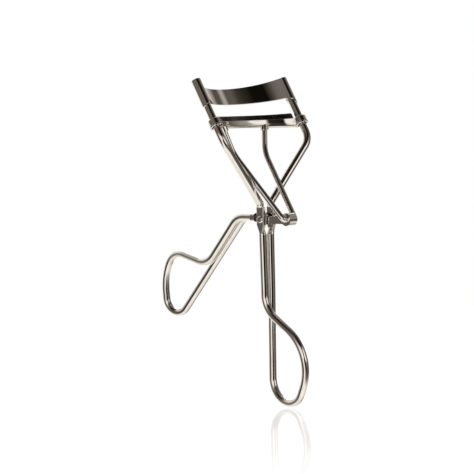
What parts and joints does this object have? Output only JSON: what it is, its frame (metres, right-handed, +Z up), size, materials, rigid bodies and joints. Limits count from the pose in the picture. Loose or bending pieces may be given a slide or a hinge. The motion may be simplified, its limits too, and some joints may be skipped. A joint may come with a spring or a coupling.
{
  "type": "eyelash curler",
  "caption": "Hand-held lash curler of polished wire: curved upper blade, padded lower jaw sliding on guide rods, lever linkage and finger and thumb loops.",
  "frame": {"origin": "middle of the base of the whole object's bounding box, under the finger loop", "axes": "+Z up along the fixed handle towards the jaws, +X to the right across the jaws, -Y the user's side, the hollow side of the jaws; the thumb loop reaches towards +Y"},
  "size_m": [0.0432, 0.0642, 0.1031],
  "materials": {
    "nickel": "mirror-polished nickel plate with a warm tone",
    "silicone": "glossy black silicone"
  },
  "bodies": {
    "frame": {"frame_wire": "nickel", "upper_jaw": "nickel", "pivot_rivet": "nickel"},
    "lever": {"lever_plate": "nickel", "handle_ferrule": "nickel", "moving_handle": "nickel"},
    "sliding_jaw": {"lower_jaw": "nickel", "silicone_pad": "silicone", "guide_ring_left": "nickel", "guide_ring_right": "nickel", "link_wire": "nickel", "link_collar_left": "nickel", "link_collar_right": "nickel"}
  },
  "joints": [
    {"name": "handle_squeeze", "type": "hinge", "parent": "frame", "child": "lever", "pos_m": [0, -0.0158, 0.05875], "axis": [-1, 0, 0], "range_deg": [0, 28]},
    {"name": "link_turn", "type": "hinge", "parent": "lever", "child": "sliding_jaw", "pos_m": [0, -0.0254, 0.05885], "axis": [-1, 0, 0], "range_deg": [-25.4, 0]}
  ],
  "couplings": [
    {"joint": "link_turn", "follows": "handle_squeeze", "ratio": -0.907}
  ]
}
